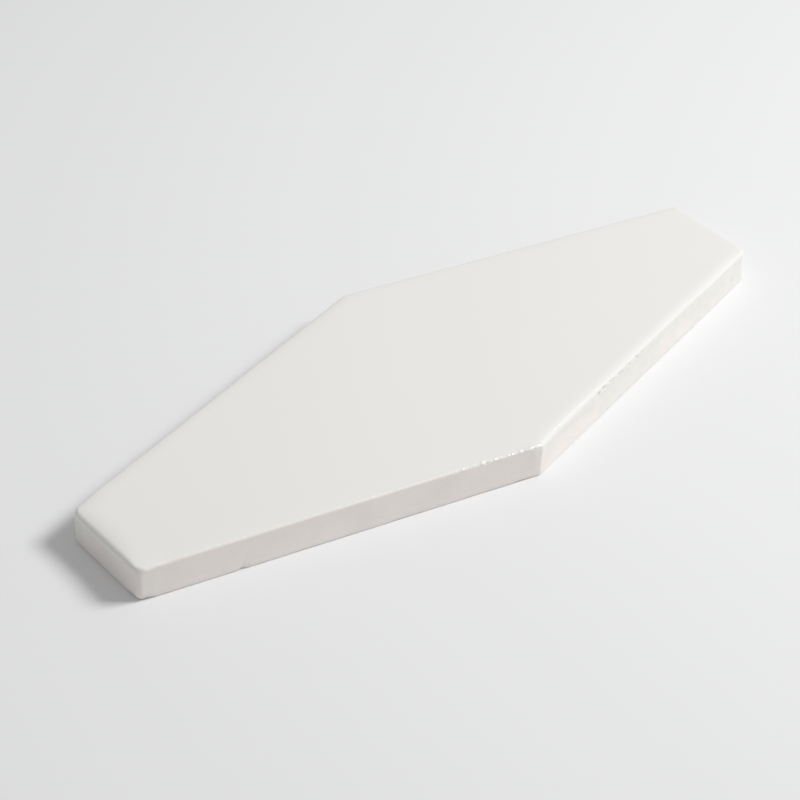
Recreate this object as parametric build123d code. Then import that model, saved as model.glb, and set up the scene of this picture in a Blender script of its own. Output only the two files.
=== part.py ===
from build123d import *
from math import atan2, cos, degrees, tan
import os

# Picket tile: a long hexagon of fired clay with blunt ends, glazed on its face.
#
# Millimetres. X runs along the tile and Y across it. Z rises from the back, which lies
# at Z = 0, to the glazed face. The origin is under the middle of the tile.

# Outline, seen from above
tile_length = 203.0          # between the two blunt ends
tile_width = 76.0            # across the tile at mid-length, where it is widest
end_width = 26.5             # across each blunt end, before its corners are rounded

# Section through an edge
tile_thickness = 10.0        # back to the middle of the face
arris_round = 1.3            # where the glaze rolls over from the face to the side
cushion_width = 5.0          # band inside the arris where the face falls away
cushion_drop = 0.15          # how far the face has fallen at the outside of that band
back_round = 0.6             # worn edge round the back
corner_round = 0.9           # upright corners, in plan, at the inner line of the arris

# Keyed back: shallow drafted channels across the tile, which the adhesive grips
rim_width = 7.0              # plain border between the channels and the edge of the tile
channel_width = 4.0          # at the mouth
channel_depth = 0.9
channel_pitch = 8.0          # from one channel to the next, along the tile
channel_draft = 30.0         # degrees that each channel wall leans from upright

# The outline's slanting sides lean by this angle from the long axis.
side_lean = atan2(tile_width - end_width, tile_length)


def outline_corners(inset):
    """The six corners of the hexagon whose sides lie this far inside the tile's own."""
    half_length = tile_length / 2 - inset
    half_width = tile_width / 2 - inset / cos(side_lean)
    half_end = half_width - half_length * tan(side_lean)
    right_side = [(half_length, -half_end), (half_length, half_end), (0, half_width)]
    return right_side + [(-x, -y) for x, y in right_side]


def outline_face(inset, corner_radius, height):
    """The same hexagon as a level face at a height, with its corners rounded."""
    hexagon = make_face(Polyline(*outline_corners(inset), close=True))
    rounded = fillet(hexagon.vertices(), corner_radius)
    return Pos(0, 0, height) * rounded


def tile_body():
    """Upright sides below a cushioned face: a loft through three level outlines.

    The back and the shoulder have the full outline. The face is a smaller hexagon, so
    that a shallow band slopes down to the shoulder all round it. The corners of the
    side are rounded by the arris on top of the face's own rounding, so that the arris
    can roll round them.
    """
    side_corner = corner_round + arris_round
    shoulder = tile_thickness - cushion_drop
    levels = [
        outline_face(0, side_corner, 0),
        outline_face(0, side_corner, shoulder),
        outline_face(arris_round + cushion_width, side_corner, tile_thickness),
    ]
    body = loft(levels, ruled=True)
    face_arris = edges_at_height(body, shoulder)
    body = fillet(face_arris, arris_round)
    back_edge = edges_at_height(body, 0)
    return fillet(back_edge, back_round)


def edges_at_height(body, height):
    """Every edge that lies wholly at one height."""
    return body.edges().filter_by_position(Axis.Z, height, height)


def channel_places():
    """How far along the tile the channels lie, in pairs about a plain middle land."""
    half_field = tile_length / 2 - rim_width - channel_width / 2
    pairs = int(half_field / channel_pitch + 0.5)
    offsets = [(place + 0.5) * channel_pitch for place in range(pairs)]
    return [side * offset for offset in offsets for side in (1, -1)]


def channel_length(along):
    """How long the channel at this place is: it ends at the plain rim on both sides."""
    outer_wall = abs(along) + channel_width / 2
    half_width_there = tile_width / 2 - outer_wall * tan(side_lean)
    return 2 * (half_width_there - rim_width / cos(side_lean))


def channel_cutter(along):
    """One channel with round ends, standing on the back and narrowing upwards."""
    mouth = Pos(along, 0, 0) * SlotOverall(channel_length(along), channel_width, rotation=90)
    return extrude(mouth, channel_depth, taper=channel_draft)


tile = tile_body() - [channel_cutter(along) for along in channel_places()]
tile.label = "tile"

os.makedirs("parts", exist_ok=True)
export_step(tile, "parts/tile.step")

size = tile.bounding_box().size
lengths = [round(channel_length(along), 1) for along in channel_places()]
print(f"tile {size.X:.1f} x {size.Y:.1f} x {size.Z:.1f} mm, {tile.volume / 1000:.1f} cm3")
print("sides lean", round(degrees(side_lean), 2), "degrees from the long axis")
print(len(lengths), "channels, the longest", max(lengths), "and the shortest", min(lengths))
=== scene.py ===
# %% [markdown]
# # A picket tile with blunt ends, glazed ivory white
#
# The real object is one slab of pressed clay. Its face and the roll over its upper edge carry
# a glossy ivory glaze. Its sides are bare clay, whitened by overspray here and there, and its
# back has shallow channels that the adhesive grips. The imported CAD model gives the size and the
# place, in one node. This lesson dresses that node with a single closed skin, worked out with
# numpy.
#
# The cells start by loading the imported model. Every length below is in millimetres until the
# skin is written as a mesh, which is in metres as the CAD is.

import bpy
import numpy as np
from mathutils import Matrix, Vector


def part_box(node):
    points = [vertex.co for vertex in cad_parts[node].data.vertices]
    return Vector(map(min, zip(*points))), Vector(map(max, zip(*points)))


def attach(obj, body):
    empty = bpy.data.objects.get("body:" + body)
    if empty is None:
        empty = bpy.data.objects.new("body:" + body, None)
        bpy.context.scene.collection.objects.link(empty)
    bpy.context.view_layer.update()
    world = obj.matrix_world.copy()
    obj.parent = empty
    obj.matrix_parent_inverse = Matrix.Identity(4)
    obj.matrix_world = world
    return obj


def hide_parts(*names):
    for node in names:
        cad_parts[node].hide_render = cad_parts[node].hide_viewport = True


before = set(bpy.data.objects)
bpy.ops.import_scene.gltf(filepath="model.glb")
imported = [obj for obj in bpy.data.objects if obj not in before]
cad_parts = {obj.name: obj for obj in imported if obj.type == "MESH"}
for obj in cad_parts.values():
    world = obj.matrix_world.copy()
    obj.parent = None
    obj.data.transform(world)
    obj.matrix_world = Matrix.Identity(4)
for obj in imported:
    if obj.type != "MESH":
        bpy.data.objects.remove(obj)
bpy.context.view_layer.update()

MM = 0.001
print("CAD nodes:", sorted(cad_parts))

# %% [markdown]
# ## The outline
#
# Seen from above the tile is a long hexagon: two blunt ends, and four long sides that lean a
# little, so that it is widest at mid-length. It could be drawn as a curve and filled. Here each
# side is a line n . p = reach, where n is its outward direction, because everything on the skin
# is placed from these six sides. They come from the CAD node's own box and the width of its
# blunt ends. The CAD rounds the two middle corners, so the sharp width is a little more than the
# box shows.

# %% Read the tile's size from its CAD node
tile_high = np.array(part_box("tile")[1]) / MM
half_length = tile_high[0]
thickness = tile_high[2]
end_width = 26.5            # across each blunt end, before its corners are rounded
side_corner = 2.2           # upright corners of the sides, in plan


def lean_for(half_width):
    """The lean of the long sides: its tangent is (width - end width) / length."""
    return np.arctan2(2 * half_width - end_width, 2 * half_length)


# The rounding hides side_corner * (1 / cos(lean) - 1) of each half of the width. The lean of the
# box is close enough to work that out, and the sharp width then gives the true lean.
half_width = tile_high[1] + side_corner * (1 / np.cos(lean_for(tile_high[1])) - 1)
lean = lean_for(half_width)
print("tile", 2 * half_length, "by", round(2 * half_width, 2), "by", thickness, "mm")
print("its long sides lean", round(np.degrees(lean), 2), "degrees")

# %% The six sides, counted anticlockwise from the right end
RIGHT_END, FAR_RIGHT, FAR_LEFT, LEFT_END, NEAR_LEFT, NEAR_RIGHT = range(6)
turn = np.pi / 2 - lean
side_angle = np.array([0, turn, np.pi - turn, np.pi, np.pi + turn, 2 * np.pi - turn])
side_normal = np.column_stack([np.cos(side_angle), np.sin(side_angle)])
long_reach = half_width * np.cos(lean)
side_reach = np.array([half_length, long_reach, long_reach] * 2)


def where_sides_meet(normal, reach):
    """For each corner k, the point p with n . p = reach for side k and for side k + 1."""
    pairs = np.stack([normal, np.roll(normal, -1, axis=0)], axis=1)
    both_reaches = np.column_stack([reach, np.roll(reach, -1)])
    return np.linalg.solve(pairs, both_reaches[..., None])[..., 0]


corner = where_sides_meet(side_normal, side_reach)
print("true corners:", np.round(corner, 1).tolist())

# %% [markdown]
# ## The outline as this tile was fired
#
# Clay shrinks and pulls in the kiln. On the real tile the two middle corners lie about a
# millimetre nearer the right end than they should, so each long side is turned by a fraction of
# a degree. The finished mesh could be bent for this. Moving the two corners before anything is
# placed from them is simpler, and every later row follows by itself.

# %% Move the two middle corners, and turn their sides with them
FAR_CORNER, LEFT_NEAR_CORNER, FRONT_CORNER = FAR_RIGHT, LEFT_END, NEAR_LEFT
far_shift, front_shift = [0.95, 0.23], [1.07, -0.26]     # along and across the tile
corner[FAR_CORNER] += far_shift
corner[FRONT_CORNER] += front_shift
edge_vector = corner - np.roll(corner, 1, axis=0)
side_angle = np.arctan2(-edge_vector[:, 0], edge_vector[:, 1]) % (2 * np.pi)
side_normal = np.column_stack([np.cos(side_angle), np.sin(side_angle)])

# The miter m of a corner solves n . m = 1 for both its sides, so corner - inset * m is the same
# corner of a smaller hexagon
miter = where_sides_meet(side_normal, np.ones(6))

# How much blunter than the CAD each corner is, in mm: at the clay side, and at the glaze
blunter_clay = [0, 0, 0.3, -0.7, 0, 0]
blunter_glaze = [0, 0, 0.8, 0.8, 0, 0]
extra_round = np.column_stack([blunter_clay, blunter_glaze])
print("fired corners:", np.round(corner, 1).tolist())

# %% [markdown]
# ## Columns round the tile
#
# The skin could be a box with bevelled edges. One grid gives every edge its own numbers instead,
# and stays one closed surface. Its rows run round the tile and its columns run from the middle
# of the back, out under the rim, up the side and over to the middle of the face. A column needs
# only its corner point, its miter and its outward direction, because at any inset the place is
# `corner - (inset + r) * miter + r * outward`, where r rounds the corners in plan.
#
# On the long sides the columns stand where the back's channels have their walls, so that the
# walls are clean lines. On the near left side they stand closer together by the front corner,
# where the glaze breaks up into beads. The far left side has the same places, because the two
# halves share their points on the middle line.

# %% Where the columns stand along a long side
rim_width = 7.0             # plain border of the back
channel_pitch = 8.0
channel_mouth = 4.0         # width of a channel at the back's surface
channel_depth = 0.9
wall_lean = np.radians(30)  # of a channel's wall, from upright
wall_run = channel_depth * np.tan(wall_lean)
channel_count = 12          # on each side of mid-length
bead_reach = 26.0           # the glaze breaks up this far from the front corner
corner_room = 0.4           # kept free of stations at mid-length and at the ends


def spread(parts):
    """Places from start to end in equal steps, for each (start, end, steps) in turn."""
    return np.concatenate([np.linspace(a, b, steps, endpoint=False) for a, b, steps in parts])


land_end = (channel_pitch - channel_mouth) / 2
floor_start = land_end + wall_run
one_pitch = spread([
    (0, land_end, 7),
    (land_end, floor_start, 2),
    (floor_start, channel_pitch - floor_start, 8),
    (channel_pitch - floor_start, channel_pitch - land_end, 2),
    (channel_pitch - land_end, channel_pitch, 7),
])
station = (one_pitch + channel_pitch * np.arange(channel_count)[:, None]).ravel()
last_station = half_length - rim_width - corner_room
station = station[(station > corner_room) & (station < last_station)]
midway = (station[1:] + station[:-1]) / 2
fine_station = np.sort(np.concatenate([station, midway[midway < bead_reach]]))
print(len(station), "stations on a right side and", len(fine_station), "on a left one")

# %% Where the columns stand on each side, as shares of its straight stretch
rim_corner = 0.9            # the corners' rounding in plan, where the stations are measured
end_columns = 70            # across a blunt end
closest = 0.2               # mm from a station to the end of the straight stretch, at least


def straight_end(side, corner_index):
    """x where this side's straight stretch ends at a corner, at the rim line of the back.

    The place is corner - (inset + r) * miter + r * normal, with the inset of the rim.
    """
    reach = (rim_width + rim_corner) * miter[corner_index][0]
    return corner[corner_index][0] - reach + rim_corner * side_normal[side][0]


def straight_shares(side):
    """How far along a side each column stands, as a share from 0 at its start to 1."""
    if side in (RIGHT_END, LEFT_END):
        return np.linspace(0, 1, end_columns)
    start, end = straight_end(side, side - 1), straight_end(side, side)
    inner = fine_station if side in (FAR_LEFT, NEAR_LEFT) else station
    inner = np.concatenate([-inner, inner])
    share = (np.append(inner, [start, end]) - start) / (end - start)
    gap = closest / abs(end - start)
    return np.sort(share[(share == 0) | (share == 1) | ((share > gap) & (share < 1 - gap))])


print("columns on each side:", [len(straight_shares(side)) for side in range(6)])

# %% Columns as arrays: side, share, corner point, miter, outward direction, extra rounding
blunt_steps, sharp_steps = 7, 12    # from side to side, round a middle corner and an end corner


def side_columns(side):
    """The columns of one side and of the corner after it, as rows of numbers.

    Each row holds side, share, corner point (2), miter (2), outward direction (2) and the
    corner's extra rounding (2). On the straight stretch the corners' numbers are mixed by share.
    Round the corner they stay, and the outward direction turns.
    """
    share = straight_shares(side)
    mix = np.column_stack([1 - share, share])
    ends = [side - 1, side]
    straight = np.column_stack([
        np.full(len(share), side), share, mix @ corner[ends], mix @ miter[ends],
        np.tile(side_normal[side], (len(share), 1)), mix @ extra_round[ends],
    ])
    sweep = (side_angle[(side + 1) % 6] - side_angle[side]) % (2 * np.pi)
    steps = sharp_steps if sweep > 1 else blunt_steps
    angle = side_angle[side] + sweep * np.arange(1, steps) / steps
    bend = np.column_stack([
        np.full(steps - 1, side), np.full(steps - 1, 1.0),
        np.tile(corner[side], (steps - 1, 1)), np.tile(miter[side], (steps - 1, 1)),
        np.cos(angle), np.sin(angle), np.tile(extra_round[side], (steps - 1, 1)),
    ])
    return np.vstack([straight, bend])


column = np.vstack([side_columns(side) for side in range(6)])
column_side = column[:, 0].astype(int)
column_share = column[:, 1]
column_corner, column_miter, column_out = column[:, 2:4], column[:, 4:6], column[:, 6:8]
extra_at_clay, extra_at_glaze = column[:, 8], column[:, 9]
print(column.shape[0], "columns, each with", column.shape[1], "numbers")

# %% How far round the tile each column stands, and how far from both ends of its side
on_edge = column_corner - side_corner * column_miter + side_corner * column_out
stride = np.linalg.norm(np.roll(on_edge, -1, axis=0) - on_edge, axis=1)
around = np.cumsum(stride) - stride
perimeter = stride.sum()
side_length = np.linalg.norm(corner - np.roll(corner, 1, axis=0), axis=1)
from_start = column_share * side_length[column_side]
to_end = (1 - column_share) * side_length[column_side]


def from_corner(corner_index):
    """Distance along the edge to a corner, on the two sides that meet there, else infinite."""
    next_side = (corner_index + 1) % 6
    beyond = np.where(column_side == next_side, from_start, np.inf)
    return np.where(column_side == corner_index, to_end, beyond)


from_left_near = from_corner(LEFT_NEAR_CORNER)
from_front = from_corner(FRONT_CORNER)
print(len(column), "columns round", round(perimeter, 1), "mm")

# %% [markdown]
# ## What firing does to the edges
#
# No edge of a fired tile is exactly true. The sides bow by a tenth of a millimetre or so, the
# roll of the glaze is wide on one side and tight on another, and all of it wanders slowly along
# the edge. A displacement texture could do this, but it can't tell one side from the next. So
# each of these is one number per column. A value is given for every side and passes smoothly to
# the next side's at the corner, and slow waves are added to it. The waves are sines that fit a
# whole number of times round the tile, so they close without a step.

# %% Values that change from side to side
# How far from each corner two sides' values mix, in mm. All are short at the front corner,
# where the real arris changes at once. The cushion passes the left near corner slowly, so that
# the face has no crease there.
corner_blend = np.array([7, 7, 7, 3, 0.8, 6])
cushion_blend = np.array([7, 7, 7, 9, 0.8, 6])
glaze_end_blend = np.array([4, 4, 4, 4, 0.8, 4])


def smooth(t):
    """The smooth step 3 t^2 - 2 t^3, with t kept between 0 and 1."""
    t = np.clip(t, 0, 1)
    return t * t * (3 - 2 * t)


def by_side(values, blend=corner_blend):
    """One value per side, passing to the neighbour's within `blend` mm of the corner.

    The values go round the tile: right end, far right, far left, left end, near left, near
    right. At a corner the value is the mean of its two sides'.
    """
    values = np.array(values, float)
    blend = np.broadcast_to(blend, 6)
    own = values[column_side]
    before, after = values[column_side - 1], values[(column_side + 1) % 6]
    to_before = 0.5 * (1 - smooth(from_start / blend[column_side - 1]))
    to_after = 0.5 * (1 - smooth(to_end / blend[column_side]))
    return own + to_before * (before - own) + to_after * (after - own)


def along_side(side, places, values):
    """A value at places along one side, counted in mm from its start, and zero elsewhere."""
    return np.where(column_side == side, np.interp(from_start, places, values), 0.0)


print("two sides' values mix within", corner_blend.min(), "to", corner_blend.max(), "mm")


# %% Waves that close round the tile
def wander(seed, shortest, longest, count=14):
    """Waves along the edge, as the sum of `count` sines, each sqrt(2 / count) high.

    Each sine fits a whole number of times round the tile and is about `shortest` to `longest`
    mm long, with a random phase. Where no two are equally long, the mean square is one.
    """
    random = np.random.default_rng(seed)
    length = np.exp(random.uniform(np.log(shortest), np.log(longest), count))
    turns = np.maximum(1, np.round(perimeter / length))
    phase = random.uniform(0, 2 * np.pi, count)
    angle = 2 * np.pi * turns * around[:, None] / perimeter + phase
    return np.sin(angle).sum(axis=1) * np.sqrt(2 / count)


print("a sine 60 mm long fits", round(perimeter / 60), "times round the tile")

# %% The arris, where the glaze rolls over from the face to the side
arris = by_side([0.9, 0.8, 0.9, 1.28, 0.60, 0.42]) + 0.04 * wander(11, 9, 60)
# It is wider along the first 45 mm of the near left side and the first 38 of the near right
widened = (column_side == NEAR_LEFT) * smooth(from_start / 8) * (1 - smooth(from_start / 45))
arris = arris + 0.3 * widened + along_side(NEAR_RIGHT, [0, 2, 20, 38], [0, 0.28, 0.22, 0])
print("arris", arris.min().round(2), "to", arris.max().round(2), "mm")

# %% The cushion, a band inside the arris where the face falls away
# The fall is cushion_drop * (1 - inset / cushion_width)^cushion_power
cushion_width = by_side([3.0, 3.0, 3.2, 12.0, 5.5, 5.5], cushion_blend)
cushion_power = by_side([2, 2, 2, 6, 2, 6], cushion_blend)
cushion_drop = by_side([0.16, 0.22, 0.34, 1.15, 0.10, 0.72], cushion_blend)
cushion_drop = cushion_drop + 0.012 * wander(12, 20, 120)
# At the left near corner both sides fall only 0.4 of that
left_end_rise, near_left_rise = 0.4 + 0.6 * smooth(to_end / 16), 0.4 + 0.6 * smooth(from_start / 8)
cushion_drop = cushion_drop * np.where(column_side == LEFT_END, left_end_rise, 1.0)
cushion_drop = cushion_drop * np.where(column_side == NEAR_LEFT, near_left_rise, 1.0)
print("the face falls by up to", cushion_drop.max().round(2), "mm")

# %% The lip, where the glaze ends on the side, and the worn edge of the back
lip_depth = by_side([2.0, 2.0, 2.0, 2.7, 0.9, 2.4]) + 0.10 * wander(13, 6, 50)
lip_room = 0.35             # least height between the arris and the lip
lip_depth = np.maximum(lip_depth, arris + cushion_drop + lip_room)
glaze_proud = by_side([0.07, 0.06, 0.06, 0.08, 0.0, 0.015])

# The back edge is worn most at the left near corner, and chipped 4.5 mm before the front one
back_round = by_side([0.55, 0.55, 0.55, 0.60, 0.42, 0.50]) + 0.06 * wander(14, 4, 40)
back_round = back_round + 1.0 * np.exp(-(from_left_near / 2.6) ** 2)
from_chip = np.where(column_side == NEAR_LEFT, to_end - 4.5, np.inf)
back_round = back_round + 0.45 * np.exp(-(from_chip / 3) ** 2)
print("back edge worn to", back_round.min().round(2), "to", back_round.max().round(2), "mm")

# %% How the sides lean and bow
# A side lies outside the outline by `foot` at the back, and inside it by `set_back` at the top
foot = by_side([0, 0, 0, 0.12, 0.12, 0], blend=6) + along_side(NEAR_RIGHT, [0, 105], [0, 0.6])
foot = foot + along_side(RIGHT_END, [0, 8], [0.6, 0])

# The near right side leans in, most from 6 to 20 mm past the front corner. The left end leans
# out, by 0.4 of the first of these values.
along_near_right = np.where(column_side == NEAR_RIGHT, from_start, 105.0 * (column_side == RIGHT_END))
near_right_lean = np.interp(along_near_right, [0, 6, 20, 35, 70, 85, 105],
                            [0.36, 0.60, 0.60, 0.46, 0.44, 0.12, 0.10])
set_back = by_side([0, 0, 0, -0.4, 0, 1]) * near_right_lean

# A side also curves in by `bow`, most in the first half of the near left side
bow = 0.04 * wander(15, 60, 240)
bow = bow + along_side(NEAR_LEFT, [0, 5, 40, 60, 110], [0, 0.1, 0.1, 0, 0])
print("set back by", set_back.min().round(2), "to", set_back.max().round(2), "mm")

# %% [markdown]
# ## Rows from the back to the face
#
# Cut across, the edge of the real tile is a worn corner at the back, an upright clay side, a lip
# where the glaze ends, the arris, and the soft cushion of the face. It could be modelled as one
# profile swept round the outline, but its measures change along the way. So each row of the
# grid says how far inside the outline the skin lies there, how high it is, and how much the
# corners are rounded in plan, with one number for every column. `facing` is the direction the
# skin faces in a section: 0 is straight up, 90 degrees straight out and 180 straight down.
# Beads are raised along it.

# %% Rows of the back's rim and its worn edge
inset_rows, height_rows, round_rows, facing_rows, glaze_rows = [], [], [], [], []
outer_rim_corner = side_corner * 0.6


def add_row(inset, height, corner_round, facing, glaze):
    """Adds one row; each value but the rounding may be one number or one per column."""
    inset_rows.append(inset + np.zeros(len(column)))
    height_rows.append(height + np.zeros(len(column)))
    round_rows.append(float(corner_round))
    facing_rows.append(np.radians(facing) + np.zeros(len(column)))
    glaze_rows.append(glaze + np.zeros(len(column)))


add_row(rim_width, 0.0, rim_corner, 180, 0)
for rim in (5.0, 3.4, 2.2, 1.3):
    add_row(rim, 0.0, outer_rim_corner, 180, 0)

# A quarter circle: inset = r (1 - sin a) and height = r (1 - cos a), from a = 0 to 90 degrees
for angle in np.radians([0, 22.5, 45, 67.5, 90]):
    inset = glaze_proud - foot + back_round * (1 - np.sin(angle))
    add_row(inset, back_round * (1 - np.cos(angle)), side_corner, 180 - np.degrees(angle), 0)
print(len(inset_rows), "rows up to the clay side")

# %% Rows of the clay side, the lip and the glazed side above it
lip_height = thickness - lip_depth
arris_start = thickness - cushion_drop - arris
lip_low, lip_top = 0.25, 0.22       # how far the lip's rows reach below and above lip_height


def side_lean(height):
    """How far the side lies inside the outline: a straight line from -foot to set_back."""
    share = np.clip(height / arris_start, 0, 1)
    return set_back * share - foot * (1 - share)


for share in (0.12, 0.3, 0.48, 0.66, 0.84, 1.0):
    height = back_round + share * (lip_height - lip_low - back_round)
    add_row(glaze_proud + side_lean(height), height, side_corner, 90, 0)

# The glaze ends in a small roll that stands proud of the clay, here as (step, proud, glaze)
for step, proud, glaze in ((-0.10, 0.02, 0.0), (0.0, 0.35, 0.35), (0.10, 0.8, 1), (lip_top, 1, 1)):
    height = lip_height + step
    add_row(side_lean(height) + glaze_proud * (1 - proud), height, side_corner, 90, glaze)

for share in (0.2, 0.4, 0.6, 0.8):
    height = lip_height + lip_top + share * (arris_start - lip_height - lip_top)
    add_row(side_lean(height), height, side_corner, 90, 1)
print(len(inset_rows), "rows up to the arris")

# %% Rows of the arris and the cushion
arris_rows = 10
arris_tuck = 1.3            # how much tighter than the side's the corners are inside the arris
face_blunting = 3           # how much blunter again they are at the flat of the face
face_start = 11.0           # inset where the face is level
cushion_shares = (0.04, 0.1, 0.18, 0.28, 0.4, 0.55, 0.75, 1.0)


def cushion_fall(inset):
    """How far the face has fallen: cushion_drop * (1 - inset / width)^power, zero inside."""
    return cushion_drop * np.clip(1 - inset / cushion_width, 0, 1) ** cushion_power


# The arris is a quarter circle whose centre lies `arris` inside and below the face's edge
for angle in np.radians(np.linspace(0, 90, arris_rows)):
    inset = arris * (1 - np.cos(angle))
    height = thickness - cushion_fall(inset) - arris * (1 - np.sin(angle))
    tucked = side_corner - arris_tuck * (1 - np.cos(angle))
    add_row(set_back + inset, height, tucked, 90 - np.degrees(angle), 1)

for share in cushion_shares:
    inset = arris + share * (face_start - arris)
    blunter = side_corner - arris_tuck + face_blunting * share
    add_row(inset + set_back * (1 - share), thickness - cushion_fall(inset), blunter, 0, 1)

inset = np.array(inset_rows)
height = np.array(height_rows)
corner_round = np.array(round_rows)[:, None]
facing = np.array(facing_rows)
glaze = np.array(glaze_rows)
print(len(inset), "rows from the rim of the back to the flat of the face")

# %% [markdown]
# ## Beads, pits and a notch along the glaze
#
# Near the front corner the glaze ends right on the arris and has broken into a row of beads,
# each less than a millimetre across, which catch the light, with dark gaps between some of them.
# On the near right side it has a few pits just under the roll, and the near left side has a
# small notch at its foot. They could be separate spheres pushed into the edge, but the grid is
# fine enough there to carry them, and the skin stays one surface. Each is a round bump
# `amount * exp(-(distance / size)^2)`, added along the direction that the skin faces.

# %% Raise the beads and sink the pits
def bump(side, along, above_back, size, amount, stretch=1.0, inside=0.0):
    """amount * exp(-(distance / size)^2) round a place on one side, for the whole grid.

    The place is `along` mm from the front corner, `above_back` high and `inside` the outline.
    The distance is measured along the edge, in height and inwards, and `stretch` lengthens it
    along the edge.
    """
    sideways = (from_front - along) / stretch
    inwards = inset - inside
    square = (sideways ** 2 + (height - above_back) ** 2 + inwards ** 2) / size ** 2
    return amount * np.exp(-square) * (column_side == side)


# Beads on the near left arris: mm from the front corner, and size
beads = [(22.0, 0.34), (16.6, 0.48), (13.0, 0.32), (11.3, 0.22), (9.3, 0.27), (8.2, 0.24),
         (5.9, 0.44), (4.3, 0.38), (3.5, 0.46), (2.8, 0.40)]
bead_height = thickness - 0.25
bead_rise = 0.36            # as a share of its size

# Dark gaps in the near left glaze, pits in the near right, and the notch: mm from the front
# corner, height above the back, and size
gaps = [(15.3, 9.55, 0.34), (1.6, 9.65, 0.45)]
pits = [(27.2, 8.2, 0.50), (29.4, 8.5, 0.50), (30.4, 8.3, 0.30), (32.9, 8.6, 0.36),
        (34.0, 8.5, 0.30), (37.1, 8.4, 0.34), (38.6, 8.1, 0.26), (42.5, 8.3, 0.26),
        (46.1, 8.5, 0.30), (49.0, 8.3, 0.26)]
notch = (80.8, 0.4, 0.9)
gap_depth, pit_depth, notch_depth = 0.18, 0.3, 0.22

raised = np.zeros_like(height)
for along, size in beads:
    raised += bump(NEAR_LEFT, along, bead_height, size, bead_rise * size, inside=0.2)
sunken = bump(NEAR_LEFT, *notch, notch_depth)
for gap in gaps:
    sunken += bump(NEAR_LEFT, *gap, gap_depth)
for pit in pits:
    sunken += bump(NEAR_RIGHT, *pit, pit_depth, stretch=1.3, inside=0.4)
relief = raised - sunken
inset = inset - relief * np.sin(facing)
height = height + relief * np.cos(facing)
print(len(beads), "beads and", len(pits), "pits, up to", np.abs(relief).max().round(2), "mm")

# %% [markdown]
# ## The skin as a grid of points
#
# The edge rows are placed with the column rule. The face and the back could be filled with one
# large polygon each, but such a face shades badly and can't be cut by channels. They are closed
# by rows instead, which slide from the last edge row to the tile's long middle line. A back
# point keeps its x, except beside the corners, so the channels run straight across. Each
# channel's depth comes from the distance to its own middle line, cut off by the leaning wall.

# %% Place the rows of the edge
glaze_zone = 2.2            # below the face, where the corners start to turn blunter
glaze_turn = 1.4            # height over which they do
extra_reach = 6.0           # inset where the extra rounding has gone
reach = inset + bow * np.clip(1 - inset / face_start, 0, 1)
near_glaze = smooth((height - (thickness - glaze_zone)) / glaze_turn)
extra = extra_at_clay + near_glaze * (extra_at_glaze - extra_at_clay)
rounding = corner_round + extra * np.clip(1 - inset / extra_reach, 0, 1)
flat = (column_corner - (reach + rounding)[..., None] * column_miter
        + rounding[..., None] * column_out)
edge_points = np.concatenate([flat, height[..., None]], axis=2)
print("edge rows reach", np.abs(edge_points).max(axis=(0, 1)).round(2).tolist())


# %% Close the face on the middle line
def towards_middle(edge_row, shares, middle_x):
    """Rows p = edge + share * (middle - edge), where middle is on the long middle line at
    middle_x. Both halves have the same points there, so the weld closes the line."""
    middle = np.column_stack([middle_x, np.zeros(len(middle_x))])
    return edge_row + shares[..., None] * (middle - edge_row)


def face_waves(x, y):
    """Long low waves of the glaze: the sum of six sines in turned directions, each 35 to 90 mm
    long and 0.012 mm high."""
    random = np.random.default_rng(21)
    length = random.uniform(35, 90, 6)
    angle = random.uniform(0, np.pi, 6)
    phase = random.uniform(0, 2 * np.pi, 6)
    path = x[..., None] * np.cos(angle) + y[..., None] * np.sin(angle)
    return 0.012 * np.sin(2 * np.pi * path / length + phase).sum(axis=-1)


face_shares = 1 - np.array([0.88, 0.74, 0.6, 0.46, 0.32, 0.2, 0.1, 0])
face_middle_end = half_length - 17.5    # the middle line of the face ends here on both sides
inner_edge = edge_points[-1, :, :2]
# Whole millimetres give both halves the same points on the middle line
face_middle = np.clip(np.round(inner_edge[:, 0]), -face_middle_end, face_middle_end)
face_flat = towards_middle(inner_edge, face_shares[:, None], face_middle)
face_rows = np.concatenate([face_flat, np.full(face_flat.shape[:2] + (1,), thickness)], axis=2)
print(len(face_rows), "rows close the face")


# %% Close the back, with its channels
def channel_relief(x, y):
    """Depth of the back's channels: depth = (mouth / 2 - distance) * depth / wall run, kept
    between 0 and the full depth. The distance is from the channel's own middle line, which
    runs across the tile and stops short of the rim by the channel's round end."""
    number = np.minimum(np.floor(np.abs(x) / channel_pitch), channel_count - 1)
    centre = (number + 0.5) * channel_pitch
    outer_wall = centre + channel_mouth / 2
    half_run = half_width - outer_wall * np.tan(lean) - rim_width / np.cos(lean)
    past_end = np.maximum(np.abs(y) - (half_run - channel_mouth / 2), 0)
    distance = np.hypot(np.abs(x) - centre, past_end)
    wall = (channel_mouth / 2 - distance) * channel_depth / wall_run
    return np.clip(wall, 0, channel_depth)


# The first rows stand end_steps mm inside the rim, across the tile, because the channels have
# their round ends there. They go at most close_share of the way to the middle line.
close_share, next_share = 0.8, 0.87
shortest_way = 4.0          # where that way is shorter, it is counted as this many mm
rim_row = edge_points[0, :, :2]
end_steps = np.array([0.3, 0.6, 0.9, 1.2, 1.6, 2.0, 2.5, 3.2])[:, None]
back_shares = np.concatenate([
    np.minimum(end_steps / np.maximum(np.abs(rim_row[:, 1]), shortest_way), close_share),
    np.full((1, len(column)), next_share), np.full((1, len(column)), 1.0),
])

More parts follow.
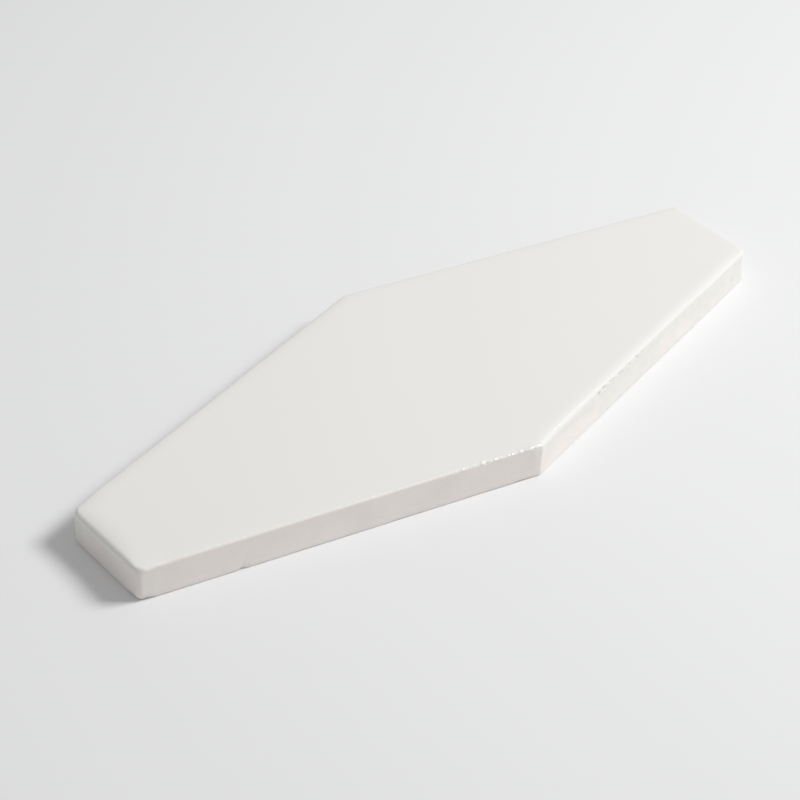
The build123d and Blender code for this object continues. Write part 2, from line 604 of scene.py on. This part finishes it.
# The middle line has a point at each station that both halves have, one between the two middle
# corners, and one beyond each end channel
back_middle_end = 94.2
last_shared = 93.5
left_of_middle, middle_point, right_of_middle = -0.5, 1.0, 1.6
seam = np.concatenate([-fine_station, station])
seam = seam[((seam < left_of_middle) | (seam > right_of_middle)) & (np.abs(seam) < last_shared)]
seam = np.append(seam, [-back_middle_end, middle_point, back_middle_end])
nearest = np.abs(rim_row[:, :1] - seam).argmin(axis=1)
back_flat = towards_middle(rim_row, back_shares, seam[nearest])
back_depth = channel_relief(back_flat[..., 0], back_flat[..., 1])
back_rows = np.concatenate([back_flat, back_depth[..., None]], axis=2)[::-1]
print(len(back_rows), "rows close the back, with channels", back_depth.max().round(2), "mm deep")

# %% The whole grid, with the long waves of the glaze
grid = np.concatenate([back_rows, edge_points, face_rows])
wave_start = 4              # inset where the waves have their full height
no_glaze, all_glaze = np.zeros(back_depth.shape), np.ones(face_flat.shape[:2])
on_face = np.concatenate([no_glaze, glaze, all_glaze])
wave_share = np.concatenate([no_glaze, smooth(reach / wave_start) * glaze, all_glaze])
grid[..., 2] += wave_share * face_waves(grid[..., 0], grid[..., 1])
print("grid of", grid.shape[0], "rows and", grid.shape[1], "columns")

# %% [markdown]
# ## From grid to mesh
#
# The two halves of a middle row hold the same points twice, and the rows pinch to a point near
# each end. Blender could merge them by distance, but that could also join the close rows of the
# beads. Welding here gives each place one vertex: points are rounded to a ten-thousandth of a
# millimetre and each different one is kept once. A square that lost a corner in the weld
# becomes a triangle, and one that lost more goes.

# %% Weld the grid
def weld(points):
    """(kept points, for each old point the number of its kept one)."""
    key = np.round(points, 4) + 0.0
    kept, first, number = np.unique(key, axis=0, return_index=True, return_inverse=True)
    return points[first], number.ravel()


def grid_faces(rows, columns, number):
    """Squares between neighbouring rows and columns, facing outwards, after the weld."""
    index = np.arange(rows * columns).reshape(rows, columns)
    after = np.roll(index, -1, axis=1)
    squares = np.stack([index[:-1], after[:-1], after[1:], index[1:]], axis=-1)
    squares = number[squares.reshape(-1, 4)]
    same = squares == np.roll(squares, -1, axis=1)
    whole = squares[same.sum(axis=1) == 0]
    pinched = same.sum(axis=1) == 1
    triangles = squares[pinched][~same[pinched]].reshape(-1, 3)
    return whole, triangles


points, number = weld(grid.reshape(-1, 3))
squares, triangles = grid_faces(grid.shape[0], grid.shape[1], number)
print(grid.shape[0] * grid.shape[1], "grid points became", len(points))

# %% Write it as a mesh, with sharp lines only where it folds
sharp_angle = np.radians(40)
mesh = bpy.data.meshes.new("glazed_tile")
mesh.from_pydata((points * MM).tolist(), [], squares.tolist() + triangles.tolist())
mesh.validate()
glazed_tile = bpy.data.objects.new("glazed_tile", mesh)
bpy.context.scene.collection.objects.link(glazed_tile)
mesh.polygons.foreach_set("use_smooth", np.ones(len(mesh.polygons), bool))
mesh.set_sharp_from_angle(angle=sharp_angle)
print(len(mesh.vertices), "vertices,", 2 * len(squares) + len(triangles), "triangles")

# %% [markdown]
# ## Where the glaze is, and where only overspray
#
# The glaze is poured or sprayed on the face and runs a little down the sides, where its end is
# ragged. White dust of it has settled on the clay below, here deep and there hardly at all. Two
# masks could be painted by hand. Attributes worked out from the same columns as the shape stay
# in step with it, so the mesh carries three, one number per vertex. `glaze` is 1 on the glazed
# face and roll and 0 on clay. `overspray` is how much of the thin white spray has settled.
# The third is painted shade: it is high in the pits, the dark gaps and the notch, and low in
# the pebbled band under the near right roll.

# %% How far down the sides the overspray reaches
def store(name, values):
    """Writes one number per grid point into the mesh as a vertex attribute."""
    kept = np.zeros(len(points))
    kept[number] = values.ravel()
    attribute = mesh.attributes.new(name, "FLOAT", "POINT")
    attribute.data.foreach_set("value", kept.astype(np.float32))


def on_side(side, values, otherwise):
    """These values on one side, and the others elsewhere."""
    return np.where(column_side == side, values, otherwise)


spray_reach = by_side([8, 8, 8, 3, 0, 12], blend=3) + 0.3 * wander(31, 5, 40)
spray_reach = on_side(NEAR_RIGHT, np.interp(
    from_start, [0, 19, 26, 31, 110], [3.6, 4.2, 6.0, 13.0, 13.0]), spray_reach)
# The near left side has spray only at its two ends
spray_reach = on_side(NEAR_LEFT, np.interp(from_start, [0, 2.4, 3.6], [12.0, 12.0, 0.0])
                      + np.interp(to_end, [0.5, 3.5], [3.6, 0.0]), spray_reach)
spray_reach = on_side(LEFT_END, np.interp(
    to_end, [0, 5, 14, 22, 25.5], [1.0, 1.3, 2.8, 3.2, 12.0]), spray_reach)
print("the overspray reaches", spray_reach.max().round(1), "mm below the face at most")

# %% The overspray, with bare patches on the near right side
below_face = thickness - grid[..., 2]
spray_fade = 1.5            # height over which the spray thins out
overspray = smooth((spray_reach - below_face) / spray_fade + 0.5)

# Each patch: mm from the front corner, height, and its half sizes along and up
bare_patches = [(26.6, 5.0, 1.0, 3.6), (61.5, 3.4, 3.2, 2.6), (71.0, 2.8, 3.6, 2.0),
                (88.0, 2.0, 2.6, 1.2)]
patch_bareness = 0.85
for along, above_back, half_along, half_up in bare_patches:
    away = ((from_front - along) / half_along) ** 2 + ((grid[..., 2] - above_back) / half_up) ** 2
    bare = patch_bareness * np.exp(-away ** 2) * (column_side == NEAR_RIGHT)
    overspray = overspray * (1 - bare)
# Less spray on the left end and the near left side. This is partly real spray and partly painted warm
# shade: the warmer colour stands in for warmer light in shade on these two sides.
overspray = overspray * by_side([1, 1, 1, 0.6, 0.7, 1], blend=3)
back_edge = 0.1             # the skin below this height counts as the back, which has none
overspray[grid[..., 2] < back_edge] = 0
store("overspray", overspray)
print("clay with more than half the overspray:", (overspray > 0.5).mean().round(2), "of the grid")

# %% Where the glaze ends, in mm below the face
# Where this is negative, the arris itself is bare
ragged = 0.20 * wander(33, 0.9, 2.8, 30) * along_side(NEAR_LEFT, [0, 30, 60, 110], [0.3, 0.6, 1, 1])
glaze_end = by_side([2.0, 2.0, 2.0, 2.2, 0.30, 2.0], glaze_end_blend)
glaze_end = glaze_end + 0.08 * wander(32, 2, 30) + ragged
glaze_end = glaze_end - along_side(NEAR_RIGHT, [20, 32, 110], [0, 0.9, 0.9])
# At the left near corner the glaze stops right under the face
at_corner = on_side(LEFT_END, np.interp(to_end, [0, 2, 7], [0.12, 0.42, 3.0]), 3.0)
at_corner = on_side(NEAR_LEFT, np.interp(from_start, [0, 2.5], [0.12, 3.0]), at_corner)
glaze_end = np.minimum(np.minimum(glaze_end, lip_depth), at_corner)
print("glaze ends", glaze_end.min().round(2), "to", glaze_end.max().round(2), "mm below the face")


# %% The glaze: kept above its end and on every bead, and always on the face
def edge_mask(values):
    """Values of the edge rows placed in the whole grid, kept between 0 and 1."""
    mask = np.zeros(grid.shape[:2])
    mask[len(back_rows):len(back_rows) + len(values)] = np.clip(values, 0, 1)
    return mask


fringe = by_side([0.2, 0.2, 0.2, 0.8, 0.35, 0.3])      # how softly the glaze ends, in mm
# Pits, gaps and the notch get their painted shade in full from 0.2 mm of depth
bead_glazed, pit_shade_depth = 0.06, 0.2    # mm of relief from which each is so in full
on_bead = edge_mask(raised / bead_glazed)
stays = np.maximum(smooth((glaze_end - below_face) / fringe + 0.5), on_bead)
# The glaze is thin at the left near corner
stays = stays * (1 - 0.4 * np.exp(-(from_left_near / 3.0) ** 2))
first_face_row = len(back_rows) + len(inset) - len(cushion_shares)
before_face = np.arange(len(grid)) < first_face_row
stays = np.where(before_face[:, None], stays, 1.0)
store("glaze", on_face * stays)

# Painted shade in the pits, gaps and notch, and faint painted shade in a pebbled band under the near
# right roll
band_below_face, band_half_height = 2.3, 1.1
pebble_shade_band = on_side(NEAR_RIGHT, np.interp(from_front, [26, 30, 60, 78], [0, 0.3, 0.25, 0]), 0.0)
pebble_shade_band = pebble_shade_band * np.exp(-((below_face - band_below_face) / band_half_height) ** 4)
store("painted_shade", np.maximum(edge_mask(sunken / pit_shade_depth), pebble_shade_band))
print("attributes:", [name for name in ("glaze", "overspray", "painted_shade") if name in mesh.attributes])

# %% [markdown]
# ## The finish
#
# Fired clay is matt, pinkish and finely grained; the glaze is ivory and smooth as glass. Two
# materials with a hard line between them could be used, but the real glaze thins out over a
# few tenths of a millimetre. So one procedural material covers the tile. Its colour goes from
# clay through overspray to glaze by the attributes, and its roughness from matt to glossy in
# the same way. The patterns read Object coordinates, in metres, so they keep their scale and
# place.

# %% Helpers for building a material
material = bpy.data.materials.new("glazed_ceramic")
material.use_nodes = True
nodes, links = material.node_tree.nodes, material.node_tree.links
nodes.clear()


def plug(value, socket):
    """Links a node's output into a socket, or sets a plain value on it."""
    if isinstance(value, bpy.types.NodeSocket):
        links.new(value, socket)
    else:
        socket.default_value = value


def node(kind, **settings):
    """A new node; settings are its own properties, or its input sockets by name."""
    made = nodes.new(kind)
    for name, value in settings.items():
        socket = made.inputs.get(name.replace("_", " "))
        if socket is None:
            setattr(made, name, value)
        else:
            plug(value, socket)
    return made


def colour(red, green, blue):
    """A colour in linear light, with full opacity."""
    return (red, green, blue, 1.0)


def blend_colours(factor, first, second):
    """first * (1 - factor) + second * factor; the colours may be sockets."""
    mix = node("ShaderNodeMix", data_type="RGBA")
    for value, index in ((factor, 0), (first, 6), (second, 7)):
        plug(value, mix.inputs[index])
    return mix.outputs[2]


def map_range(value, low, high, to_low, to_high):
    """The straight line that takes low..high to to_low..to_high, kept inside that range."""
    made = node("ShaderNodeMapRange", Value=value, From_Min=low, From_Max=high,
                To_Min=to_low, To_Max=to_high)
    return made.outputs["Result"]


def calculate(operation, *values):
    """The result of a Math node; each value may be a socket."""
    made = node("ShaderNodeMath", operation=operation)
    for value, socket in zip(values, made.inputs):
        plug(value, socket)
    return made.outputs[0]


def noise(scale, detail):
    """Noise with about `scale` lumps a metre, and `detail` layers of finer ones."""
    made = node("ShaderNodeTexNoise", Vector=place, Scale=scale, Detail=detail)
    return made.outputs["Fac"]


def attribute(name):
    """The mesh's own number of this name at each point."""
    return node("ShaderNodeAttribute", attribute_name=name).outputs["Fac"]


place = node("ShaderNodeTexCoord").outputs["Object"]
# The third attribute is painted shade in the pits, gaps, notch and pebbled band
has_glaze, has_spray, has_painted_shade = attribute("glaze"), attribute("overspray"), attribute("painted_shade")
print("helpers ready, with", len(nodes), "nodes that read the mesh")

# %% Clay, mottled over centimetres and speckled by its grain
clay_tint = colour(0.845, 0.800, 0.768)
clay_dark_tint = colour(0.795, 0.750, 0.718)
speckle_tint = colour(0.62, 0.56, 0.52)
grain_scale, mottle_scale = 1800.0, 90.0        # lumps a metre
grain = noise(grain_scale, 3.0)
mottle = noise(mottle_scale, 4.0)
clay = blend_colours(map_range(mottle, 0.3, 0.7, 0, 1), clay_tint, clay_dark_tint)
clay = blend_colours(map_range(grain, 0.62, 0.75, 0, 0.35), clay, speckle_tint)
print("the clay's grain is about", round(1 / (grain_scale * MM), 2), "mm across")

# %% Overspray, blotchy and with an uneven border
# The blotches shift its share, most where that is a half: PINGPONG rises to 0.5 there, and falls
# back to 0 where the share is 1
spray_tint = colour(0.785, 0.772, 0.736)
spray_dark_tint = colour(0.750, 0.738, 0.706)
blotch_scale = 420.0
blotches = noise(blotch_scale, 3.0)
at_border = calculate("PINGPONG", has_spray, 0.5)
shift = map_range(blotches, 0.35, 0.65, -0.5, 0.5)
spray_share = calculate("MULTIPLY_ADD", shift, at_border, has_spray)
spray = blend_colours(map_range(blotches, 0.35, 0.65, 0.0, 1.0), spray_tint, spray_dark_tint)
sprayed = blend_colours(spray_share, clay, spray)
print("blotches are about", round(1 / (blotch_scale * MM), 1), "mm across")

# %% Glaze over it, and painted shade in pits and pebbles
glaze_tint = colour(0.800, 0.788, 0.760)
# A dark colour mixed in by that mask: painted shade in the pits, gaps and notch, and in pebbles under
# the near right roll
painted_shade_tint = colour(0.400, 0.360, 0.320)
painted_shade_strength = 0.32
pebble_scale = 1300.0
glazed = blend_colours(has_glaze, sprayed, glaze_tint)
pebble_shade = map_range(noise(pebble_scale, 1.0), 0.52, 0.62, 0.0, 0.5)
dark_spot = map_range(calculate("ADD", pebble_shade, has_painted_shade), 0.5, 1.0, 0.0, painted_shade_strength)
skin_colour = blend_colours(dark_spot, glazed, painted_shade_tint)
print("painted_shades darken by up to", painted_shade_strength)

# %% The shader: matt and grained on clay, glossy and smooth on glaze
clay_roughness, glaze_roughness = 0.75, 0.12
glaze_ior = 1.6
roughness = map_range(has_glaze, 0, 1, clay_roughness, glaze_roughness)
grain_strength = map_range(has_glaze, 0, 1, 0.25, 0.0)
grain_bump = node("ShaderNodeBump", Height=grain, Strength=grain_strength, Distance=0.08 * MM)
shader = node("ShaderNodeBsdfPrincipled", Roughness=roughness, Normal=grain_bump.outputs[0],
              IOR=glaze_ior, Base_Color=skin_colour)
node("ShaderNodeOutputMaterial", Surface=shader.outputs["BSDF"])
mesh.materials.append(material)
print("material with", len(nodes), "nodes")

# %% The skin rides on the root body and stands for the CAD node
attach(glazed_tile, "root")
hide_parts("tile")
print("the skin stands for the node 'tile'")

# %% [markdown]
# ## Floor, light and camera
#
# The tile lies on a plain pale floor, as such samples are photographed. Several lamps could
# light it, but its one soft shadow to the left and the highlights on the near right edge show a
# single soft light, to the right and in front and raised by 47 degrees, and an even pale
# surrounding that fills the shadows. The camera looks down from the near left.

# %% A pale floor
floor_half = 6.0            # metres
floor_mesh = bpy.data.meshes.new("floor")
floor_corners = [(-1, -1), (1, -1), (1, 1), (-1, 1)]
floor_mesh.from_pydata([(x * floor_half, y * floor_half, 0) for x, y in floor_corners], [],
                       [(0, 1, 2, 3)])
floor = bpy.data.objects.new("floor", floor_mesh)
bpy.context.scene.collection.objects.link(floor)
floor_material = bpy.data.materials.new("pale_floor")
floor_material.use_nodes = True
floor_shader = floor_material.node_tree.nodes["Principled BSDF"]
floor_shader.inputs["Base Color"].default_value = colour(0.775, 0.777, 0.782)
floor_shader.inputs["Roughness"].default_value = 1.0
floor_shader.inputs["Specular IOR Level"].default_value = 0.0
floor_mesh.materials.append(floor_material)
print("floor", 2 * floor_half, "m across")

# %% One soft light and an even sky
light_direction = Vector((0.585, -0.351, 0.7315)).normalized()
light_distance = 1.3
light_aim = Vector((-0.023, 0.065, 0.0))
key_data = bpy.data.lights.new("key", "AREA")
key_data.shape = "SQUARE"
key_data.size = 0.44
key_data.energy = 4.25
key_data.spread = np.radians(100)
key = bpy.data.objects.new("key", key_data)
key.location = light_direction * light_distance
key.rotation_euler = (key.location - light_aim).to_track_quat("Z", "Y").to_euler()
bpy.context.scene.collection.objects.link(key)

sky_strength = 0.44
sky = bpy.data.worlds.new("sky")
sky.use_nodes = True
sky_background = sky.node_tree.nodes["Background"]
sky_background.inputs["Color"].default_value = colour(1, 1, 1)
sky_background.inputs["Strength"].default_value = sky_strength
bpy.context.scene.world = sky
bpy.context.scene.view_settings.view_transform = "Standard"
print("key light", key_data.energy, "W at", light_distance, "m")

# %% Where the camera stands, from its bearing, height and roll about the line of sight
bearing, rise, roll = np.radians([-42.63, 39.86, 3.14])
camera_distance = 0.5563
look_at = np.array([-7.40, 4.84, 0.0]) * MM
back = np.array([np.sin(bearing) * np.cos(rise), -np.cos(bearing) * np.cos(rise), np.sin(rise)])
level = np.cross(-back, [0, 0, 1])
level = level / np.linalg.norm(level)
upward = np.cross(level, -back)
right = np.cos(roll) * level + np.sin(roll) * upward
up = np.cos(roll) * upward - np.sin(roll) * level
print("the camera stands at", (look_at + back * camera_distance).round(3).tolist(), "m")

# %% The camera
focal_pixels = 2176.7
image_pixels = 800.0
camera_data = bpy.data.cameras.new("camera")
camera_data.sensor_width = 36.0
camera_data.lens = camera_data.sensor_width * focal_pixels / image_pixels
camera_data.clip_start = 0.01
camera = bpy.data.objects.new("camera", camera_data)
turned = Matrix(np.column_stack([right, up, back]).tolist()).to_4x4()
camera.matrix_world = Matrix.Translation((look_at + back * camera_distance).tolist()) @ turned
bpy.context.scene.collection.objects.link(camera)
bpy.context.scene.camera = camera
print("lens", round(camera_data.lens, 1), "mm")
